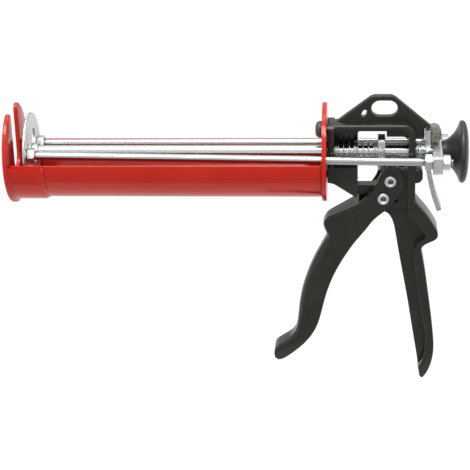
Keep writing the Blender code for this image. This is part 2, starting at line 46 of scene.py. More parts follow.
# gun sizes in millimetres, measured from the drive rod's axis and the rear plate's front face
hangHole = (42.0, 31.4)
frontX = -212.7
cradleRadius = 31.0
plateRadius = 34.0
rodRadius = 4.75
sideRodRadius = 2.9
sideRodY = 16.5
pivot = (46.3, -17.5)
camPin = (41.6, -30.0)
crossX = 74.6
crossThickness = 6.4
pusherX = frontX + 9.0


def linear(hexColour):
    # sRGB hex to the linear values a shader wants
    values = []
    for start in (1, 3, 5):
        share = int(hexColour[start:start + 2], 16) / 255.0
        values.append(share / 12.92 if share <= 0.04045 else ((share + 0.055) / 1.055) ** 2.4)
    return (*values, 1.0)


def addNode(tree, kind, settings=None, links=None):
    # settings: property or input name to value, or "stops" for a ramp's (position, hex colour)
    # links: input name to an output socket
    node = tree.nodes.new(kind)
    for key, value in (settings or {}).items():
        if key == "stops":
            while len(node.color_ramp.elements) < len(value):
                node.color_ramp.elements.new(0.5)
            for element, (position, colour) in zip(node.color_ramp.elements, value):
                element.position = position
                element.color = linear(colour)
        elif isinstance(key, str) and hasattr(node, key):
            setattr(node, key, value)
        else:
            node.inputs[key].default_value = value
    for key, socket in (links or {}).items():
        tree.links.new(socket, node.inputs[key])
    return node


def newMaterial(name, settings):
    material = bpy.data.materials.new(name)
    material.use_nodes = True
    tree = material.node_tree
    shader = tree.nodes["Principled BSDF"]
    for key, value in settings.items():
        shader.inputs[key].default_value = value
    place = addNode(tree, "ShaderNodeTexCoord").outputs["Object"]
    return material, tree, shader, place


def makeRedPaint(name, dark, light, roughness):
    # Gloss red powder coat on sheet steel: a deep even red with a faint orange peel
    material, tree, shader, place = newMaterial(name, {"IOR": 1.45})
    cloud = addNode(tree, "ShaderNodeTexNoise", {"Scale": 28.0, "Detail": 3.0}, {"Vector": place})
    colour = addNode(tree, "ShaderNodeValToRGB", {"stops": [(0.3, dark), (0.7, light)]},
                     {"Fac": cloud.outputs["Fac"]})
    sheen = addNode(tree, "ShaderNodeMapRange", {"From Min": 0.3, "From Max": 0.7, "To Min": roughness,
                                                 "To Max": roughness + 0.07},
                    {"Value": cloud.outputs["Fac"]})
    # orange peel bumps about 1.6 mm apart
    peel = addNode(tree, "ShaderNodeTexNoise", {"Scale": 620.0, "Detail": 1.0}, {"Vector": place})
    bump = addNode(tree, "ShaderNodeBump", {"Strength": 0.05, "Distance": 0.0002},
                   {"Height": peel.outputs["Fac"]})
    tree.links.new(colour.outputs["Color"], shader.inputs["Base Color"])
    tree.links.new(sheen.outputs["Result"], shader.inputs["Roughness"])
    tree.links.new(bump.outputs["Normal"], shader.inputs["Normal"])
    return material


def makeCastBlack(name, dark, light, worn, roughness):
    # Satin black epoxy coat on a zinc die casting: soft sheen, fine grain, worn specks if rough
    material, tree, shader, place = newMaterial(name, {"IOR": 1.5})
    cloud = addNode(tree, "ShaderNodeTexNoise", {"Scale": 60.0, "Detail": 4.0}, {"Vector": place})
    colour = addNode(tree, "ShaderNodeValToRGB", {"stops": [(0.3, dark), (0.7, light)]},
                     {"Fac": cloud.outputs["Fac"]}).outputs["Color"]
    sheen = addNode(tree, "ShaderNodeMapRange", {"From Min": 0.3, "From Max": 0.7,
                                                 "To Min": roughness - 0.05,
                                                 "To Max": roughness + 0.06},
                    {"Value": cloud.outputs["Fac"]})
    grain = addNode(tree, "ShaderNodeTexNoise", {"Scale": 1500.0, "Detail": 2.0}, {"Vector": place})
    if worn:
        # knocked and worn spots about 1 mm across, where the grey metal shows through
        spots = addNode(tree, "ShaderNodeTexNoise", {"Scale": 1500.0, "Detail": 3.0}, {"Vector": place})
        mask = addNode(tree, "ShaderNodeMapRange", {"From Min": 0.42, "From Max": 0.6},
                       {"Value": spots.outputs["Fac"]})
        mix = addNode(tree, "ShaderNodeMix", {"data_type": "RGBA", 7: linear(worn)},
                      {0: mask.outputs["Result"], 6: colour})
        colour = mix.outputs[2]
    bump = addNode(tree, "ShaderNodeBump", {"Strength": 0.5 if worn else 0.12, "Distance": 0.0002},
                   {"Height": grain.outputs["Fac"]})
    tree.links.new(colour, shader.inputs["Base Color"])
    tree.links.new(sheen.outputs["Result"], shader.inputs["Roughness"])
    tree.links.new(bump.outputs["Normal"], shader.inputs["Normal"])
    return material


def makeBrightMetal(name, dark, light, roughness, spread, scale, stretch):
    # Bare or plated metal: a faint mottle in colour and shine, drawn out along X for bar and wire
    material, tree, shader, place = newMaterial(name, {"Metallic": 1.0})
    drawn = addNode(tree, "ShaderNodeMapping", {"Scale": (scale * stretch, scale, scale)},
                    {"Vector": place})
    mottle = addNode(tree, "ShaderNodeTexNoise", {"Scale": 1.0, "Detail": 4.0},
                     {"Vector": drawn.outputs["Vector"]})
    colour = addNode(tree, "ShaderNodeValToRGB", {"stops": [(0.3, dark), (0.7, light)]},
                     {"Fac": mottle.outputs["Fac"]})
    sheen = addNode(tree, "ShaderNodeMapRange", {"From Min": 0.3, "From Max": 0.7, "To Min": roughness,
                                                 "To Max": roughness + spread},
                    {"Value": mottle.outputs["Fac"]})
    tree.links.new(colour.outputs["Color"], shader.inputs["Base Color"])
    tree.links.new(sheen.outputs["Result"], shader.inputs["Roughness"])
    return material


def makeKnobPlastic(name, dark, light, roughness):
    # Moulded black ABS: high gloss with faint flow marks
    material, tree, shader, place = newMaterial(name, {"IOR": 1.53})
    flow = addNode(tree, "ShaderNodeTexNoise", {"Scale": 90.0, "Detail": 2.0}, {"Vector": place})
    colour = addNode(tree, "ShaderNodeValToRGB", {"stops": [(0.3, dark), (0.7, light)]},
                     {"Fac": flow.outputs["Fac"]})
    sheen = addNode(tree, "ShaderNodeMapRange", {"From Min": 0.3, "From Max": 0.7, "To Min": roughness,
                                                 "To Max": roughness + 0.1},
                    {"Value": flow.outputs["Fac"]})
    tree.links.new(colour.outputs["Color"], shader.inputs["Base Color"])
    tree.links.new(sheen.outputs["Result"], shader.inputs["Roughness"])
    return material


redPaint = makeRedPaint("redPowderCoat", "#B71B08", "#C11F0A", 0.12)
castBlack = makeCastBlack("satinBlackCasting", "#1D1E18", "#25261E", None, 0.21)
castRubbed = makeCastBlack("rubbedBlackCasting", "#2C2823", "#3D3831", "#5C554B", 0.36)
castWorn = makeCastBlack("wornBlackCasting", "#4A4740", "#5C5850", "#8F8A80", 0.42)
zinc = makeBrightMetal("brightZincPlate", "#D6D9D8", "#EBEDEC", 0.28, 0.16, 260.0, 1.0)
zincDull = makeBrightMetal("dullZincPlate", "#C4CBD0", "#E0E5E8", 0.24, 0.12, 260.0, 1.0)
drawnSteel = makeBrightMetal("drawnSteel", "#B9BBBA", "#D2D4D3", 0.17, 0.08, 1500.0, 0.002)
springWire = makeBrightMetal("springWire", "#C4C6C4", "#E0E2E0", 0.2, 0.12, 260.0, 1.0)
knobPlastic = makeKnobPlastic("mouldedBlackAbs", "#222624", "#2A2E2C", 0.3)
brass = makeBrightMetal("turnedBrass", "#B08D4A", "#C9A75F", 0.26, 0.1, 700.0, 1.0)
print("materials made")


def meshOf(points, faces):
    mesh = bpy.data.meshes.new("shape")
    mesh.from_pydata([tuple(point) for point in points], [], faces)
    mesh.update()
    return mesh


def tidyNormals(mesh):
    # faces point outwards
    form = bmesh.new()
    form.from_mesh(mesh)
    bmesh.ops.recalc_face_normals(form, faces=form.faces)
    form.to_mesh(mesh)
    form.free()
    return mesh


def loftRings(rings, capped=True, looped=False):
    # quads between rings of equal count
    count = len(rings[0])
    points = [point for ring in rings for point in ring]
    faces = []
    pairs = len(rings) if looped else len(rings) - 1
    for number in range(pairs):
        first = number * count
        second = ((number + 1) % len(rings)) * count
        for index in range(count):
            following = (index + 1) % count
            faces.append((first + index, first + following, second + following, second + index))
    if capped and not looped:
        faces.append(tuple(range(count))[::-1])
        last = (len(rings) - 1) * count
        faces.append(tuple(range(last, last + count)))
    return tidyNormals(meshOf(points, faces))


def prismY(outline, low, high):
    return loftRings([[(x, low, z) for x, z in outline], [(x, high, z) for x, z in outline]])


def prismX(outline, low, high):
    return loftRings([[(low, y, z) for y, z in outline], [(high, y, z) for y, z in outline]])


def turnX(profile, y=0.0, z=0.0, steps=64, looped=False):
    # profile of (x, radius) round an axis along X
    rings = []
    for x, radius in profile:
        radius = max(radius, 0.02)
        rings.append([(x, y + radius * math.cos(2 * math.pi * k / steps),
                       z + radius * math.sin(2 * math.pi * k / steps)) for k in range(steps)])
    return loftRings(rings, not looped, looped)


def turnY(profile, x, z, steps=48, looped=False):
    # profile of (y, radius) round an axis along Y
    rings = []
    for y, radius in profile:
        rings.append([(x + radius * math.cos(2 * math.pi * k / steps), y,
                       z + radius * math.sin(2 * math.pi * k / steps)) for k in range(steps)])
    return loftRings(rings, not looped, looped)


def arc(x, z, radius, start, end, steps):
    points = []
    for index in range(steps + 1):
        angle = math.radians(start + (end - start) * index / steps)
        points.append((x + radius * math.cos(angle), z + radius * math.sin(angle)))
    return points


def smoothLine(points, steps=4):
    # Catmull-Rom curve through points of any length
    result = []
    count = len(points)
    for index in range(count - 1):
        before = points[max(index - 1, 0)]
        first = points[index]
        second = points[index + 1]
        after = points[min(index + 2, count - 1)]
        for step in range(steps):
            t = step / steps
            result.append(tuple(0.5 * (2 * b + (c - a) * t + (2 * a - 5 * b + 4 * c - d) * t * t
                                       + (3 * b - a - 3 * c + d) * t ** 3)
                                for a, b, c, d in zip(before, first, second, after)))
    result.append(tuple(points[-1]))
    return result


def roundedOutline(outline, radii, steps=5):
    # each corner gets its own fillet radius
    result = []
    count = len(outline)
    for index, corner in enumerate(outline):
        radius = radii[index] if isinstance(radii, (list, tuple)) else radii
        here = Vector(corner)
        back = Vector(outline[index - 1]) - here
        ahead = Vector(outline[(index + 1) % count]) - here
        turn = back.angle(ahead, math.pi)
        if radius <= 0.0 or turn > math.radians(172):
            result.append(tuple(here))
            continue
        reach = min(radius / math.tan(turn / 2), back.length * 0.48, ahead.length * 0.48)
        start = here + back.normalized() * reach
        end = here + ahead.normalized() * reach
        for step in range(steps + 1):
            t = step / steps
            result.append(tuple(start * (1 - t) ** 2 + here * 2 * t * (1 - t) + end * t * t))
    return result


def carve(base, changes, bevel=0.0, segments=3, angle=35.0):
    # booleans and the edge rounding, worked in millimetres and baked into one mesh
    scene = bpy.context.scene.collection
    body = bpy.data.objects.new("blank", base)
    scene.objects.link(body)
    helpers = [body]
    for operation, mesh in changes:
        tool = bpy.data.objects.new("tool", mesh)
        scene.objects.link(tool)
        helpers.append(tool)
        step = body.modifiers.new("boolean", "BOOLEAN")
        step.operation = operation
        step.solver = "EXACT"
        step.object = tool
    if bevel > 0.0:
        weld = body.modifiers.new("weld", "WELD")
        weld.merge_threshold = 0.0001
        edge = body.modifiers.new("edge", "BEVEL")
        edge.width = bevel
        edge.segments = segments
        edge.limit_method = "ANGLE"
        edge.angle_limit = math.radians(angle)
        edge.use_clamp_overlap = True
        edge.miter_outer = "MITER_ARC"
    bpy.context.view_layer.update()
    graph = bpy.context.evaluated_depsgraph_get()
    mesh = bpy.data.meshes.new_from_object(body.evaluated_get(graph))
    for helper in helpers:
        bpy.data.objects.remove(helper, do_unlink=True)
    return mesh


def fit(name, mesh, body, nodes, material, smooth=38.0, second=None, worn=()):
    # places a mesh drawn in gun millimetres on its body, in the row frame
    shift = Matrix.Translation(Vector((-hangHole[0], 0.0, -hangHole[1])))
    mesh.transform(Matrix.Scale(0.001, 4) @ shift)
    mesh.materials.clear()
    mesh.materials.append(material)
    if second is not None:
        mesh.materials.append(second)
        mesh.polygons.foreach_set("material_index", worn)
    mesh.shade_smooth()
    mesh.set_sharp_from_angle(angle=math.radians(smooth))
    piece = bpy.data.objects.new(name, mesh)
    bpy.context.scene.collection.objects.link(piece)
    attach(piece, body)
    if nodes:
        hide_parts(*nodes)
    return piece


# cradle: thin half-round sheet with a rolled-smooth rim
cradle = {"wall": 1.2, "start": frontX + 0.3, "end": -0.3, "rim": 0.5}


def halfSheet(outer, wall, tilt, steps=72):
    outside = arc(0.0, 0.0, outer, 180 + tilt, 360 - tilt, steps)
    inside = arc(0.0, 0.0, outer - wall, 360 - tilt, 180 + tilt, steps)
    return outside + inside


def makeCradle():
    sheet = prismX(halfSheet(cradleRadius, cradle["wall"], 0.0), cradle["start"], cradle["end"])
    fit("cradleShellSheet", carve(sheet, [], cradle["rim"], 3), "gun_frame", ["cradle_shell"],
        redPaint)


collar = {"outer": 32.5, "wall": 1.2, "length": 22.2, "drop": 1.4, "fillet": 1.1, "step": 3.6}
weld = {"radius": 31.3, "start": 183, "sweep": 42, "steps": 24, "size": 0.95, "ripple": 0.12,
        "width": 1.6, "offset": 0.6}


def makeCollar():
    # the collar is filleted into the plate and swaged down to the cradle at its rear
    tilt = math.degrees(math.asin(collar["drop"] / collar["outer"]))
    start = frontX + 0.02
    fillet = collar["fillet"]
    stations = []
    for degrees in range(0, 91, 15):
        turn = math.radians(degrees)
        stations.append((fillet * (1 - math.cos(turn)) * 2.0, fillet * (1 - math.sin(turn))))
    end = collar["length"]
    fall = collar["outer"] - cradleRadius - 0.06
    for index in range(9):
        share = index / 8.0
        stations.append((end - collar["step"] / 2 + collar["step"] * share,
                         -fall * (0.5 - 0.5 * math.cos(math.pi * share))))
    rings = []
    for along, grow in stations:
        inner = collar["outer"] - collar["wall"] if along < end else cradleRadius + 0.02
        outline = (arc(0.0, 0.0, collar["outer"] + grow, 180 + tilt, 360 - tilt, 72)
                   + arc(0.0, 0.0, inner, 360 - tilt, 180 + tilt, 72))
        rings.append([(start + along, y, z) for y, z in outline])
    fit("frontCollarRing", loftRings(rings), "gun_frame", ["front_collar"], redPaint)


def makeWeld():
    # painted-over bead where the collar meets the cradle, fading out at both ends
    steps = weld["steps"]
    place = frontX + 0.02 + collar["length"] + weld["offset"]
    along = Vector((weld["width"], 0, 0))
    bead = []
    for index in range(steps + 1):
        angle = math.radians(weld["start"] + weld["sweep"] * index / steps)
        swell = weld["size"] + weld["ripple"] * math.sin(index * 1.1)
        swell *= min(1.0, index / 2.0 + 0.3, (steps - index) / 6.0 + 0.15)
        outward = Vector((0.0, math.cos(angle), math.sin(angle)))
        centre = outward * weld["radius"] + Vector((place, 0.0, 0.0))
        turns = [2 * math.pi * k / 12 for k in range(12)]
        bead.append([centre + (outward * math.cos(turn) + along * math.sin(turn)) * swell
                     for turn in turns])
    fit("collarWeldBead", loftRings(bead), "gun_frame", [], redPaint, 80)


plate = {"thickness": 3.0, "edge": 0.6, "frontRadius": 35.0, "slotHalf": 9.73, "tip": 4.55,
         "slotBottom": -2.03, "rodFit": 0.5, "sideFit": 1.9, "rodTravel": 185.0, "studHole": 2.8,
         "studLift": 16.0}


def makeFrontPlate():
    slotHalf = plate["slotHalf"]
    tip = plate["tip"]
    radius = plate["frontRadius"]
    hornY = slotHalf + tip
    hornZ = math.sqrt((radius - tip) ** 2 - hornY ** 2)
    lift = math.degrees(math.atan2(hornZ, hornY))
    outline = arc(0.0, 0.0, radius, lift, -180 - lift, 120)
    outline += arc(-hornY, hornZ, tip, 180 - lift, 0, 12)[1:]
    outline += arc(0.0, plate["slotBottom"], slotHalf, 180, 360, 32)
    outline += arc(hornY, hornZ, tip, 180, lift, 12)[:-1]
    mesh = carve(prismX(outline, frontX - plate["thickness"], frontX), [], plate["edge"], 3, 50)
    fit("nozzlePlate", mesh, "gun_frame", ["front_plate"], redPaint, 45)


def sideRodZ(x, side):
    # the pusher and the crosshead sit rolled opposite ways, so the rods lean past each other
    share = (x - pusherX) / (crossX - pusherX)
    front = 1.75 - side * 0.85
    rear = -0.3 + side * 1.7
    return front + share * (rear - front)


def drillX(low, high, radius, y=0.0, z=0.0, steps=40):
    return turnX([(low, radius), (high, radius)], y, z, steps)


def makeRearPlate():
    disc = drillX(0.0, plate["thickness"], plateRadius, steps=128)
    holes = [("DIFFERENCE", drillX(-3, 6, rodRadius + plate["rodFit"]))]
    sideHole = sideRodRadius + plate["sideFit"]
    for side in (-1, 1):
        centre = (sideRodZ(0.0, side) + sideRodZ(-plate["rodTravel"], side)) / 2.0
        holes.append(("DIFFERENCE", drillX(-3, 6, sideHole, side * sideRodY, centre)))
        holes.append(("DIFFERENCE", drillX(-3, 6, plate["studHole"], 0.0, side * plate["studLift"])))
    fit("rearRoundPlate", carve(disc, holes, plate["edge"], 3, 50), "gun_frame", ["rear_plate"],
        redPaint, 45)


stud = {"lift": 16.0, "profile": [
    (-4.9, 0.4), (-4.85, 2.2), (-4.5, 3.8), (-3.8, 4.9), (-2.8, 5.6), (-1.6, 5.85),
    (-0.9, 5.8), (-0.45, 5.6), (-0.3, 5.3), (-0.3, 2.5), (5.9, 2.5), (5.9, 0.4)]}


def makeStuds():
    for name, side in (("upper_stud", 1), ("lower_stud", -1)):
        fit(name + "Head", turnX(stud["profile"], 0.0, side * stud["lift"], 48),
            "gun_frame", [name], castRubbed)


makeCradle()
makeCollar()
makeWeld()
makeFrontPlate()
makeRearPlate()
makeStuds()
print("red parts made")

# die-cast frame: outlines are (x, z), and each half is a distance either side of the middle
casting = {
    "half": 12.0, "farWall": 8.0, "rounding": 1.7, "cheekSlot": 4.4, "collarRecess": 11.2,
    "blockHalf": 8.65, "webHalf": 2.7, "lugHalf": 5.0, "stopHalf": 7.0, "gripHalf": 3.0,
    "flangeHalf": 11.0, "camSlotHalf": 3.5, "pinHole": 2.8, "rodFit": 0.35,
    "sweepOuter": 16.6, "sweepInner": 10.0, "wornFrom": (73.2, 8.0),
    "hangSlot": (17.8, 11.2), "eyelet": (28.3, 28.0), "eyeletSize": (5.4, 3.0), "eyeletLean": 66.0,
    "body": [(3.3, 22.4)] + arc(54.7, 13.8, 8.6, 90, 0, 12) + [
        (63.3, -37.0), (58.0, -37.0), (58.0, -29.4), (24.0, -29.4), (22.2, -29.2), (7.0, -19.4),
        (3.3, -19.4)],
    "cheekRoom": [(24.0, -22.6), (24.0, -40.0), (58.05, -40.0), (58.05, -9.9), (41.2, -9.9),
                  (41.2, -17.6), (35.9, -22.6)],
    "cavity": [(8.1, 19.1)] + arc(51.5, 12.2, 6.9, 90, 0, 10) + [
        (58.4, -9.9), (41.5, -9.9), (41.5, -17.5), (36.0, -22.8), (23.6, -22.8), (23.6, -7.7),
        (8.1, -7.7)],
    "window": roundedOutline([(24.1, 12.0), (43.8, 12.0), (43.8, 8.0), (58.4, 8.0), (58.4, -10.2),
                              (41.2, -10.2), (41.2, -17.8), (35.8, -23.2), (24.1, -23.2)],
                             [1.5, 0.6, 0, 4.0, 0, 0, 0, 0, 1.5]),
    "nearRecess": [(1.0, -8.2), (9.6, -8.2), (8.0, -20.5), (1.0, -20.5)],
    "backSlope": [(3.2, 22.6), (20.0, 15.4), (20.0, 24.0), (3.2, 24.0)],
    "flangeCorner": arc(6.0, 16.4, 6.0, 90, 0, 10) + [(20.0, 16.0), (20.0, 24.0), (5.8, 24.0)],
    "pivotBlock": [(41.5, -9.9), (59.0, -9.9), (59.0, -37.0), (40.0, -37.0), (31.0, -30.4),
                   (31.0, -27.0), (36.0, -22.8), (41.5, -17.5)],
    # the web with the hanging slot, notched for the release lever's top
    "hangPlate": roundedOutline([(8.6, 21.4), (32.3, 39.3), (35.0, 40.3), (46.8, 40.3), (49.8, 38.8),
                                 (73.4, 18.8), (76.5, 18.8), (76.5, 11.0), (73.4, 9.4),
                                 (73.4, 17.4), (69.2, 17.4), (69.2, 9.8), (63.0, 9.8),
                                 (63.0, -4.0), (61.0, -4.0), (61.0, 18.0), (50.0, 21.4)],
                                [0, 3, 3, 3, 3, 0, 0, 0, 0, 0.8, 0.8, 1.5, 0, 0, 0, 0, 0]),
    "lug": roundedOutline([(73.4, 9.4), (73.4, 18.6), (76.5, 19.2), (79.2, 17.6), (80.6, 14.2),
                           (80.4, 10.6), (78.8, 8.7), (76.2, 8.3)],
                          [0.8, 1, 1.5, 1.5, 1.5, 1.2, 1, 1]),
    "stop": roundedOutline([(62.0, -10.5), (66.4, -10.8), (68.4, -12.6), (68.4, -18.0),
                            (66.4, -20.6), (62.0, -21.0)], [0, 2, 2, 2, 2, 0]),
    "camSlot": [(36.8, -36.2), (36.8, -5.0), (56.0, -5.0), (56.0, -36.2)],
    "gripFront": [(40.9, -42.5), (44.2, -43.6), (46.7, -46.3), (48.8, -51.2), (50.4, -58.8),
                  (52.6, -72.0), (55.9, -90.0), (59.2, -108.0), (62.1, -126.0), (65.0, -143.5),
                  (67.0, -156.0), (67.4, -161.5), (68.5, -165.8), (70.5, -167.0)],
    "gripRear": [(63.3, -33.0), (68.0, -38.4), (73.1, -44.8), (77.8, -52.4), (79.4, -56.7),
                 (78.0, -60.5), (71.0, -64.2), (68.2, -67.2), (68.6, -71.0), (71.0, -84.2),
                 (73.2, -99.7), (75.6, -116.6), (77.6, -133.7), (78.0, -145.2), (76.5, -155.0),
                 (73.6, -162.5), (70.5, -167.0)],
    "flangeInner": [(58.4, -36.0), (60.0, -46.0), (64.1, -48.0), (71.0, -58.5), (66.3, -63.6),
                    (63.5, -68.8), (64.3, -84.2), (66.3, -98.0), (68.3, -111.0), (70.7, -124.0),
                    (72.2, -136.0), (71.5, -148.8), (69.4, -155.0), (67.4, -159.0)]}


def longRound(centreX, centreZ, length, height, steps=12):
    radius = height / 2.0
    half = length / 2.0 - radius
    return (arc(centreX + half, centreZ, radius, -90, 90, steps)
            + arc(centreX - half, centreZ, radius, 90, 270, steps))


def flipped(outline, side):
    return [(side * y, z) for y, z in outline]


def softPrism(outline, half, rounding):
    # each block of the casting is rounded before it is joined to the next
    return carve(prismY(outline, -half, half), [], rounding, 4, 32)


def makeFrame():
    big = 20.0
    front = smoothLine(casting["gripFront"], 3)
    rear = smoothLine(casting["gripRear"], 3)
    inner = smoothLine(casting["flangeInner"], 3)
    grip = list(reversed(front)) + [(40.9, -36.0), (52.0, -30.0)] + rear[:-1]
    flange = list(reversed(inner)) + rear + [(68.5, -165.8)]
    sweep = (arc(*pivot, casting["sweepOuter"], 225, 290, 14)
             + arc(*pivot, casting["sweepInner"], 290, 225, 14))
    lean = math.radians(casting["eyeletLean"])
    middleX, middleZ = casting["eyelet"]
    eyelet = [(middleX + x * math.cos(lean) - z * math.sin(lean),
               middleZ + x * math.sin(lean) + z * math.cos(lean))
              for x, z in longRound(0.0, 0.0, *casting["eyeletSize"], 6)]
    slotOutline = longRound(*hangHole, *casting["hangSlot"], 16)
    farWall = casting["farWall"]
    pin = casting["pinHole"]
    cheek = casting["cheekSlot"]
    camSlot = casting["camSlotHalf"]
    cuts = [prismY(casting["cheekRoom"], -big, -cheek),
            prismY(casting["cheekRoom"], cheek, big),
            prismY(casting["cavity"], -big, farWall),
            prismY(casting["window"], farWall - 1.0, big),
            prismX(casting["flangeCorner"], 1.0, 8.1),
            prismX(flipped(casting["flangeCorner"], -1), 1.0, 8.1),
            prismX(casting["backSlope"], 8.2, 70.0),
            prismY(casting["nearRecess"], -big, -casting["collarRecess"])]
    blocks = [softPrism(casting["pivotBlock"], casting["blockHalf"], 0.4),
              softPrism(casting["hangPlate"], casting["webHalf"], 1.0),
              softPrism(casting["lug"], casting["lugHalf"], 1.2),
              softPrism(casting["stop"], casting["stopHalf"], 1.2),
              softPrism(grip, casting["gripHalf"], 0.8),
              softPrism(flange, casting["flangeHalf"], 1.3)]
    holes = [prismY(casting["camSlot"], -camSlot, camSlot),
             prismY(sweep, -big, big),
             turnY([(-big, pin), (big, pin)], *pivot),
             prismY(slotOutline, -big, big),
             prismY(eyelet, -big, big),
             drillX(0.0, 75.0, rodRadius + casting["rodFit"]),
             drillX(0.0, 6.3, pin, 0.0, 16.0),
             drillX(0.0, 6.3, pin, 0.0, -16.0)]
    changes = ([("DIFFERENCE", mesh) for mesh in cuts] + [("UNION", mesh) for mesh in blocks]
               + [("DIFFERENCE", mesh) for mesh in holes])
    mesh = carve(softPrism(casting["body"], casting["half"], casting["rounding"]), changes)
    wornX, wornZ = casting["wornFrom"]
    worn = [int(face.center.x > wornX and face.center.z > wornZ and abs(face.center.y) < 5.5)
            for face in mesh.polygons]
    fit("castFrame", mesh, "gun_frame", ["frame_casting"], castBlack, 40, castWorn,
        worn)


makeFrame()
print("frame made")

# trigger: each station is front point, rear point, half width, front corner radius
trigger = {"roomHalf": 9.0, "channelHalf": 5.4, "pinHole": 2.8,
           "boss": [(11.0, 7.6), (12.45, 7.6), (12.75, 7.2)], "stations": [
    (45.6, -7.35, 48.0, -7.3, 12.4, 0.8), (43.6, -7.9, 50.6, -8.0, 12.4, 1.0),
    (41.6, -9.9, 53.2, -10.0, 12.4, 1.2), (39.7, -12.6, 55.0, -13.2, 12.4, 1.3),
    (38.2, -16.2, 55.8, -17.0, 12.4, 1.4), (36.7, -20.1, 55.4, -21.4, 12.4, 1.5),
    (34.2, -24.1, 53.8, -25.6, 12.4, 1.6), (31.0, -28.2, 51.4, -29.4, 12.4, 1.6),
    (27.6, -31.6, 47.4, -34.2, 12.4, 1.6), (22.6, -35.4, 42.4, -39.4, 12.2, 1.6),
    (17.6, -38.2, 38.2, -43.2, 11.4, 1.6), (12.7, -40.8, 34.2, -47.5, 10.5, 1.7),
    (7.4, -43.4, 30.0, -53.7, 9.4, 2.0), (3.0, -46.0, 26.0, -59.0, 8.6, 2.6),
    (0.3, -50.3, 22.5, -63.5, 8.3, 4.0), (1.0, -54.7, 19.5, -67.8, 8.2, 5.0),
    (2.6, -59.7, 16.8, -72.0, 8.2, 5.5), (-0.7, -66.9, 13.0, -78.2, 8.2, 6.0),
    (-6.0, -77.0, 8.0, -87.8, 8.2, 6.2), (-10.7, -88.2, 4.2, -97.2, 8.2, 6.2),
    (-14.4, -99.6, 1.2, -107.0, 8.2, 6.2), (-16.7, -111.0, -1.2, -117.0, 8.2, 6.0),
    (-18.0, -122.5, -3.8, -126.2, 8.2, 5.0), (-19.5, -131.5, -7.5, -134.0, 8.2, 3.6),
    (-23.3, -137.4, -12.8, -141.0, 8.3, 2.4), (-29.6, -142.0, -19.2, -147.1, 8.4, 1.6),
    (-34.2, -145.6, -25.5, -152.0, 8.4, 1.4), (-35.4, -149.6, -29.6, -154.4, 8.4, 1.4),
    (-35.0, -153.0, -32.3, -155.0, 8.2, 1.0)],
    "room": [(25.0, -37.0), (24.0, 0.0), (62.0, 0.0), (62.0, -46.0), (50.0, -46.0), (34.0, -46.0)],
    "channelFront": [(14.0, -44.0), (7.5, -48.0), (6.2, -52.0), (7.6, -58.0), (2.6, -70.0),
                     (-3.5, -86.0), (-9.0, -104.0), (-12.0, -120.0), (-14.0, -129.0),
                     (-18.5, -136.5)],
    "channelRear": [(-10.0, -134.5), (0.0, -120.0), (20.0, -80.0), (50.0, -50.0), (50.0, -36.0),
                    (30.0, -36.0)]}


def triggerRing(station):
    # rounded section: soft at the front, nearly square at the rear
    frontPoint = Vector(station[0:2])
    rearPoint = Vector(station[2:4])
    half, corner = station[4:6]
    depth = (rearPoint - frontPoint).length
    along = (rearPoint - frontPoint).normalized()
    corner = min(corner, depth * 0.4)
    back = min(0.8, depth * 0.3)
    quarter = (arc(corner, half - corner, corner, 180, 90, 8)
               + arc(depth - back, half - back, back, 90, 0, 3))
    outline = [(u, -v) for u, v in reversed(quarter)] + quarter
    ring = []
    for u, v in outline:
        point = frontPoint + along * u
        ring.append((point.x, v, point.y))
    return ring


def makeTrigger():
    rings = [triggerRing(station) for station in smoothLine(trigger["stations"], 3)]
    channel = smoothLine(trigger["channelFront"], 3) + trigger["channelRear"]
    changes = []
    for side in (1, -1):
        boss = sorted((side * y, radius) for y, radius in trigger["boss"])
        changes.append(("UNION", turnY(boss, *pivot)))
    changes.append(("DIFFERENCE", prismY(trigger["room"], -trigger["roomHalf"], trigger["roomHalf"])))
    changes.append(("DIFFERENCE", prismY(channel, -trigger["channelHalf"], trigger["channelHalf"])))
    for x, z in (pivot, camPin):
        hole = trigger["pinHole"]
        changes.append(("DIFFERENCE", turnY([(-30, hole), (30, hole)], x, z)))
    fit("triggerCasting", carve(loftRings(rings), changes), "trigger", ["trigger_lever"],
        castBlack, 34)


cam = {"half": 3.0, "nose": (48.0, -10.2), "noseRadius": 4.6, "pinHole": 2.8, "edge": 0.3}


def makeCam():
    outline = arc(*cam["nose"], cam["noseRadius"], 205, -30, 24)
    outline += arc(*pivot, 6.4, 20, -60, 8)
    outline += arc(*camPin, 4.5, -20, -200, 12)
    outline += arc(*pivot, 5.2, 215, 165, 6)
    hole = cam["pinHole"]
    holes = [("DIFFERENCE", turnY([(-9, hole), (9, hole)], x, z)) for x, z in (pivot, camPin)]
    fit("driveCamPlate", carve(prismY(outline, -cam["half"], cam["half"]), holes, cam["edge"], 2),
        "trigger", ["drive_cam"], zincDull)


rivet = {"head": 4.0, "shank": 2.5, "bore": 1.6, "half": 12.7}


def makeRivets():
    # hollow rivets with rolled rims
    for name, x, z, body in (("pivot_pin", *pivot, "gun_frame"), ("cam_rivet", *camPin, "trigger")):
        half = rivet["half"]
        side = [(half, rivet["shank"]), (half, rivet["head"] - 0.25), (half + 0.25, rivet["head"]),
                (half + 0.6, rivet["head"] - 0.05), (half + 0.9, rivet["head"] - 0.45),
                (half + 1.0, rivet["head"] - 1.0), (half + 0.85, rivet["head"] - 1.45),
                (half + 0.3, rivet["bore"] + 0.35), (half - 1.2, rivet["bore"])]
        profile = side + [(-y, radius) for y, radius in reversed(side)]
        fit(name + "Tube", turnY(profile, x, z, 48, True), body, [name], zinc, 50)


makeTrigger()
makeCam()
makeRivets()
print("trigger made")


pusher = {"thickness": 2.0, "rim": 27.6, "vent": 5.6, "ventAt": (6.6, 9.5), "ring": 20.0,
          "boreGap": 0.3}


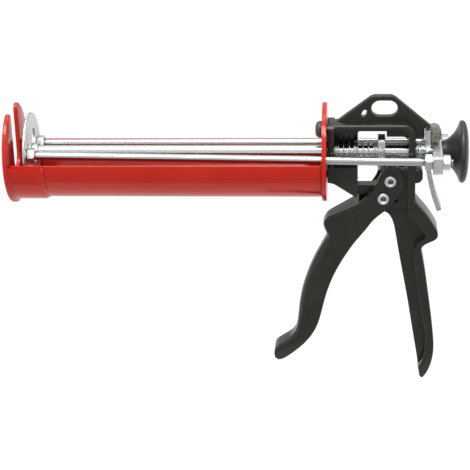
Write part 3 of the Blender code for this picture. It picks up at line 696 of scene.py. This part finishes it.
def makePusher():
    back = pusherX + pusher["thickness"]
    rim = pusher["rim"]
    ring = pusher["ring"]
    profile = [(pusherX, 0.02), (pusherX, rim - 1.0), (pusherX + 0.12, rim - 0.5),
               (pusherX + 0.45, rim - 0.12), (pusherX + 1.0, rim), (pusherX + 1.6, rim - 0.12),
               (back - 0.08, rim - 0.5), (back, rim - 1.0), (back, ring + 1.6),
               (back - 0.35, ring + 0.8), (back - 0.35, ring - 0.8), (back, ring - 1.6), (back, 0.02)]
    gap = pusher["boreGap"]
    low = pusherX - 3
    high = back + 3
    holes = [("DIFFERENCE", drillX(low, high, rodRadius + gap))]
    for side in (-1, 1):
        holes.append(("DIFFERENCE", drillX(low, high, sideRodRadius + gap, side * sideRodY,
                                           sideRodZ(pusherX, side))))
    holes.append(("DIFFERENCE", drillX(low, high, pusher["vent"], *pusher["ventAt"])))
    fit("pusherDiscPressing", carve(turnX(profile, steps=96), holes), "rod_set", ["pusher_disc"],
        zinc)


nut = {"across": 10.0, "height": 5.0, "chamfer": 0.55}


def nutMesh(x, y, z, bore, turn=0.0):
    # hexagon with both faces chamfered to a circle, and a chamfered bore
    outer = nut["across"] / 2.0
    stations = [(0.0, 0.55, False), (nut["chamfer"], 0.0, True),
                (nut["height"] - nut["chamfer"], 0.0, True), (nut["height"], 0.55, False)]
    rings = []
    steps = 48
    for along, cut, hexagon in stations:
        ring = []
        for k in range(steps):
            angle = 2 * math.pi * k / steps
            inside = (angle % (math.pi / 3)) - math.pi / 6
            size = outer / math.cos(inside)
            if not hexagon:
                size = min(size, outer) - 0.1
            else:
                size = min(size, outer * 1.135)
            ring.append((x + along, y + size * math.cos(angle + turn),
                         z + size * math.sin(angle + turn)))
        rings.append(ring)
    for along, grow in ((nut["height"], 0.45), (nut["height"] - 0.45, 0.0), (0.45, 0.0), (0.0, 0.45)):
        rings.append([(x + along, y + (bore + grow) * math.cos(2 * math.pi * k / steps + turn),
                       z + (bore + grow) * math.sin(2 * math.pi * k / steps + turn))
                      for k in range(steps)])
    return loftRings(rings, False, True)


def makeFrontNuts():
    nutX = pusherX + 2.3
    for word, side in (("near", -1), ("far", 1)):
        mesh = nutMesh(nutX, side * sideRodY, sideRodZ(nutX, side), sideRodRadius + 0.3, 0.0)
        fit(word + "FrontNutHex", mesh, "rod_set", [word + "_front_nut"], zinc, 25)
    inner = rodRadius + 0.3
    outer = rodRadius + 1.4
    profile = [(nutX, inner + 0.3), (nutX, outer - 0.3), (nutX + 0.3, outer), (nutX + 3.6, outer),
               (nutX + 4.0, outer - 0.4), (nutX + 4.0, inner + 0.3), (nutX + 3.7, inner),
               (nutX + 0.3, inner)]
    fit("centreFrontCollar", turnX(profile, steps=64, looped=True), "rod_set", ["centre_front_nut"],
        zinc, 30)


thread = {"pitch": 1.0, "depth": 0.5}


def threadedRod(startX, endX, threads, radius, side, steps=32):
    # straight rod whose threaded runs are real helical ridges
    stations = []
    x = startX
    while x < endX - 1e-6:
        inThread = any(low <= x <= high for low, high in threads)
        stations.append(x)
        x += thread["pitch"] / 6.0 if inThread else 4.0
        for low, high in threads:
            if stations[-1] < low < x:
                x = low
    stations.append(endX)
    rings = []
    for x in stations:
        inThread = any(low <= x <= high for low, high in threads)
        z = sideRodZ(x, side) if side else 0.0
        taper = min(1.0, (x - startX) / 0.8 + 0.75, (endX - x) / 0.8 + 0.7)
        ring = []
        for k in range(steps):
            angle = 2 * math.pi * k / steps
            size = radius * taper
            if inThread:
                wave = (x / thread["pitch"] - angle / (2 * math.pi)) % 1.0
                size -= thread["depth"] * abs(2 * wave - 1)
            ring.append((x, side * sideRodY + size * math.cos(angle), z + size * math.sin(angle)))
        rings.append(ring)
    return loftRings(rings)


def makeRods():
    rear = crossX + crossThickness
    tail = rear + 7.4
    for word, side in (("near", -1), ("far", 1)):
        threads = [(pusherX + 0.4, pusherX + 8.5), (crossX - 7.5, tail)]
        fit(word + "SideRodBar", threadedRod(pusherX + 0.4, tail, threads, sideRodRadius, side),
            "rod_set", [word + "_side_rod"], drawnSteel, 30)
    end = rear + 12.0
    profile = [(pusherX + 0.4, 0.02), (pusherX + 0.4, rodRadius - 0.5), (pusherX + 0.9, rodRadius)]
    profile += [(x, rodRadius) for x in range(-200, 74, 12)]
    profile += [(crossX - 1.0, rodRadius), (crossX - 0.6, rodRadius - 0.3),
                (crossX - 0.5, rodRadius - 1.2),
                (end - 0.6, rodRadius - 1.2), (end, rodRadius - 1.8), (end, 0.02)]
    fit("driveRodBar", turnX(profile, steps=64), "rod_set", ["drive_rod"],
        drawnSteel, 30)


crossBar = {"half": 25.8, "high": 6.7, "tilt": math.atan2(1.7, sideRodY)}


def makeCrosshead():
    half = crossBar["half"]
    high = crossBar["high"]
    outline = roundedOutline([(-half, -high), (half, -high), (half, high), (-half, high)],
                             [3.4, 3.4, 1.6, 1.6])
    tilt = crossBar["tilt"]
    turned = [(y * math.cos(tilt) - z * math.sin(tilt), y * math.sin(tilt) + z * math.cos(tilt))
              for y, z in outline]
    middle = crossX + crossThickness / 2.0
    holes = [("DIFFERENCE", drillX(70, 90, rodRadius - 0.9))]
    for side in (-1, 1):
        holes.append(("DIFFERENCE", drillX(70, 90, sideRodRadius + 0.3, side * sideRodY,
                                           sideRodZ(middle, side))))
    fit("crossheadBar", carve(prismX(turned, crossX, crossX + crossThickness), holes, 0.6, 3),
        "rod_set", ["crosshead"], zinc)
    for word, side in (("near", -1), ("far", 1)):
        front = crossX - 0.3 - nut["height"]
        rear = crossX + crossThickness + 0.3
        for node, x, turn in (("_jam_nut", front, 0.35), ("_rear_nut", rear, 0.1)):
            mesh = nutMesh(x, side * sideRodY, sideRodZ(x, side), sideRodRadius + 0.3, turn * side)
            fit(word + node.title().replace("_", "") + "Hex", mesh, "rod_set", [word + node],
                zinc, 25)


pullKnob = {"boreDepth": 12.3, "bushGap": 0.3, "bushLength": 11.2, "bushWall": 1.3, "outline": [
    (0.0, 7.2), (0.25, 7.5), (1.6, 7.9), (3.6, 8.8), (5.9, 10.8), (8.4, 13.6), (10.4, 17.0),
    (11.5, 19.8), (12.2, 20.9), (13.2, 21.3), (14.2, 21.2), (15.2, 20.5), (16.1, 18.9),
    (16.8, 16.4), (17.3, 13.0), (17.6, 8.5), (17.8, 3.0), (17.8, 0.02)]}


def makeKnob():
    start = crossX + crossThickness + 0.3
    profile = [(start + x, max(radius, 0.02)) for x, radius in smoothLine(pullKnob["outline"], 4)]
    outer = rodRadius + pullKnob["bushWall"]
    bored = carve(turnX([(start, 0.02)] + profile, steps=96),
                  [("DIFFERENCE", drillX(start - 2, start + pullKnob["boreDepth"], outer))])
    fit("pullKnob", bored, "rod_set", ["knob"], knobPlastic, 50)
    bore = rodRadius - 0.9
    first = start + 0.4
    last = first + pullKnob["bushLength"]
    around = outer - pullKnob["bushGap"]
    insert = [(first, bore), (first, around - 0.3), (first + 0.3, around), (last, around), (last, bore)]
    fit("knobInsertBush", turnX(insert, steps=48, looped=True), "rod_set", ["knob_insert"],
        brass)


makePusher()
makeFrontNuts()
makeRods()
makeCrosshead()
makeKnob()
print("rod set made")


def coilMesh(stations, radius, wire, steps=40, sides=12):
    # stations: (x, turns so far), so that the pitch can change along the spring
    path = []
    for (x0, turn0), (x1, turn1) in zip(stations, stations[1:]):
        count = max(2, round((turn1 - turn0) * steps))
        for index in range(count):
            share = index / count
            path.append((x0 + (x1 - x0) * share, turn0 + (turn1 - turn0) * share))
    path.append(stations[-1])
    rings = []
    for x, turn in path:
        angle = 2 * math.pi * turn
        outward = Vector((0.0, math.cos(angle), math.sin(angle)))
        centre = Vector((x, 0.0, 0.0)) + outward * radius
        rings.append([centre + (outward * math.cos(2 * math.pi * k / sides)
                                + Vector((1, 0, 0)) * math.sin(2 * math.pi * k / sides)) * wire
                      for k in range(sides)])
    return loftRings(rings)


# each station is a place along the spring and the turns made so far
springs = {
    "returnSpringCoil": {
        "node": "return_spring", "joint": "thrust_slide", "radius": 7.0, "anchor": 8.4, "keep": 0.88,
        "stations": [(8.9, 0.0), (9.5, 1.0), (15.2, 2.6), (21.4, 4.1), (23.4, 6.2), (29.0, 7.7),
                     (34.6, 9.2), (36.3, 10.2), (36.9, 10.9)]},
    "releaseSpringCoil": {
        "node": "release_spring", "joint": "release_hinge", "radius": 6.15, "anchor": 63.6,
        "keep": 0.66,
        "stations": [(64.1, 0.0), (64.5, 0.9), (66.5, 1.9), (68.4, 2.8), (69.0, 3.7)]}}


def makeSprings():
    for name, spring in springs.items():
        piece = fit(name, coilMesh(spring["stations"], spring["radius"], 0.5), "gun_frame",
                    [spring["node"]], springWire, 60)
        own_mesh(piece)


thrust = {"start": 37.7, "end": 42.7, "edge": 0.8, "rodFit": 0.35, "outline": roundedOutline(
    [(-7.3, -8.4), (-3.0, -8.4), (-3.0, -12.8), (3.0, -12.8), (3.0, -8.4), (7.3, -8.4), (7.3, 11.2),
     (-7.3, 11.2)], [0.8, 0, 0.8, 0.8, 0, 0.8, 3.2, 3.2])}


def makeThrustPlate():
    holes = [("DIFFERENCE", drillX(30, 50, rodRadius + thrust["rodFit"]))]
    block = prismX(thrust["outline"], thrust["start"], thrust["end"])
    fit("thrustPlateSteel", carve(block, holes, thrust["edge"], 4), "thrust", ["thrust_plate"],
        zinc)


lever = {"thickness": 3.2, "half": 7.95, "edge": 1.2, "rodFit": 0.8,
         "line": [(71.4, 16.9), (71.4, 6.0), (71.4, -4.0), (71.8, -9.0), (73.0, -16.0), (75.0, -25.0),
                  (77.4, -33.0), (79.9, -40.0)]}


def makeReleaseLever():
    middle = smoothLine(lever["line"], 5)
    left = []
    right = []
    for index, (x, z) in enumerate(middle):
        before = Vector(middle[max(index - 1, 0)])
        after = Vector(middle[min(index + 1, len(middle) - 1)])
        along = (after - before).normalized()
        across = Vector((-along.y, along.x)) * lever["thickness"] / 2.0
        left.append((x + across.x, z + across.y))
        right.append((x - across.x, z - across.y))
    strip = prismY(left + list(reversed(right)), -lever["half"], lever["half"])
    holes = [("DIFFERENCE", drillX(66, 78, rodRadius + lever["rodFit"]))]
    fit("releaseLeverStrip", carve(strip, holes, lever["edge"], 3, 40), "release", ["release_lever"],
        zincDull)


makeSprings()
makeThrustPlate()
makeReleaseLever()
print("drive and release made")

# studio: white paper below the gun, soft boxes above, grey felt in front that only gloss sees
studio = {"floorZ": -200.0, "floorEdge": -98.0, "paperGloss": 0.85, "airFront": 0.8, "airBack": 0.5,
          "airTop": 1.0, "seenWhite": 1.05, "paperReach": 4000, "feltReach": 3000, "feltLift": 2,
          # each soft box: place, aim, width and depth in metres, power in watts
          "topSoftBox": ((-0.05, 0.3, 1.3), (-0.08, 0.0, 0.0), 1.2, 0.5, 3.0),
          "frontSoftBox": ((-0.25, -0.6, 1.45), (-0.1, 0.0, -0.05), 1.3, 0.6, 20.0)}


def rowPoint(x, y, z):
    return Vector((x - hangHole[0], y, z - hangHole[1])) * 0.001


def stagePlane(name, corners, material):
    mesh = meshOf([rowPoint(*corner) for corner in corners], [(0, 1, 2, 3)])
    plane = bpy.data.objects.new(name, mesh)
    bpy.context.scene.collection.objects.link(plane)
    mesh.materials.append(material)
    return plane


def makeStage():
    # white paper: full white to the eye, a mid grey to the gun's gloss
    paper = bpy.data.materials.new("whitePaper")
    paper.use_nodes = True
    tree = paper.node_tree
    tree.nodes.clear()
    path = addNode(tree, "ShaderNodeLightPath")
    glow = addNode(tree, "ShaderNodeMix", {"data_type": "FLOAT", 2: studio["paperGloss"],
                                           3: studio["seenWhite"]},
                   {0: path.outputs["Is Camera Ray"]})
    light = addNode(tree, "ShaderNodeEmission", {"Color": (1.0, 1.0, 1.0, 1.0)},
                    {"Strength": glow.outputs[0]})
    addNode(tree, "ShaderNodeOutputMaterial", links={"Surface": light.outputs["Emission"]})
    z = studio["floorZ"]
    wide = studio["paperReach"]
    stagePlane("paperFloor", [(-wide, -wide, z), (wide, -wide, z), (wide, wide, z), (-wide, wide, z)],
               paper)
    felt = bpy.data.materials.new("greyFelt")
    felt.use_nodes = True
    cloth = felt.node_tree.nodes["Principled BSDF"]
    cloth.inputs["Base Color"].default_value = linear("#8A8A8A")
    cloth.inputs["Roughness"].default_value = 1.0
    edge = studio["floorEdge"]
    reach = studio["feltReach"]
    lift = z + studio["feltLift"]
    card = stagePlane("frontFlag", [(-reach, -reach, lift), (reach, -reach, lift), (reach, edge, lift),
                                    (-reach, edge, lift)], felt)
    card.visible_camera = False
    card.visible_diffuse = False
    card.visible_shadow = False
    card.visible_transmission = False


def areaLight(name, place, target, width, height, power):
    light = bpy.data.lights.new(name, "AREA")
    light.shape = "RECTANGLE"
    light.size = width
    light.size_y = height
    light.energy = power
    lamp = bpy.data.objects.new(name, light)
    bpy.context.scene.collection.objects.link(lamp)
    lamp.location = place
    direction = Vector(target) - Vector(place)
    lamp.rotation_euler = direction.to_track_quat("-Z", "Y").to_euler()
    lamp.visible_camera = False
    return lamp


def makeLights():
    for name in ("topSoftBox", "frontSoftBox"):
        areaLight(name, *studio[name])
    world = bpy.data.worlds.new("studioAir")
    bpy.context.scene.world = world
    world.use_nodes = True
    tree = world.node_tree
    tree.nodes.clear()
    # pale behind the gun, dim towards the front, and plain white to the eye
    place = addNode(tree, "ShaderNodeTexCoord").outputs["Generated"]
    parts = addNode(tree, "ShaderNodeSeparateXYZ", links={"Vector": place})
    level = addNode(tree, "ShaderNodeMapRange", {"From Min": -0.35, "From Max": 0.35,
                                                 "To Min": studio["airFront"],
                                                 "To Max": studio["airBack"]},
                    {"Value": parts.outputs["Y"]})
    climb = addNode(tree, "ShaderNodeMapRange", {"From Min": 0.25, "From Max": 0.85},
                    {"Value": parts.outputs["Z"]})
    glow = addNode(tree, "ShaderNodeMix", {"data_type": "FLOAT", 3: studio["airTop"]},
                   {0: climb.outputs["Result"], 2: level.outputs["Result"]})
    toEye = addNode(tree, "ShaderNodeLightPath").outputs["Is Camera Ray"]
    strength = addNode(tree, "ShaderNodeMix", {"data_type": "FLOAT", 3: studio["seenWhite"]},
                       {0: toEye, 2: glow.outputs[0]})
    shade = addNode(tree, "ShaderNodeBackground", {"Color": (1.0, 1.0, 1.0, 1.0)},
                    {"Strength": strength.outputs[0]})
    addNode(tree, "ShaderNodeOutputWorld", links={"Surface": shade.outputs["Background"]})


camera = {"pitch": 21.52, "yaw": 5.09, "roll": -1.646, "distance": 1.078, "lens": 117.2,
          "aim": (-62.0, 0.0, -61.8)}


def makeCamera():
    pitch, yaw, roll = (math.radians(camera[key]) for key in ("pitch", "yaw", "roll"))
    ahead = Vector((-math.sin(yaw) * math.cos(pitch), math.cos(yaw) * math.cos(pitch),
                    -math.sin(pitch)))
    level = Vector((math.cos(yaw), math.sin(yaw), 0.0))
    upward = level.cross(ahead)
    right = level * math.cos(roll) + upward * math.sin(roll)
    above = upward * math.cos(roll) - level * math.sin(roll)
    data = bpy.data.cameras.new("viewCamera")
    data.lens = camera["lens"]
    data.sensor_width = 36.0
    data.clip_end = 50.0
    eye = bpy.data.objects.new("viewCamera", data)
    bpy.context.scene.collection.objects.link(eye)
    turn = Matrix((right, above, -ahead)).transposed().to_4x4()
    eye.matrix_world = Matrix.Translation(rowPoint(*camera["aim"]) - ahead * camera["distance"]) @ turn
    bpy.context.scene.camera = eye


makeStage()
makeLights()
makeCamera()
bpy.context.scene.view_settings.view_transform = "Standard"
print("studio made")
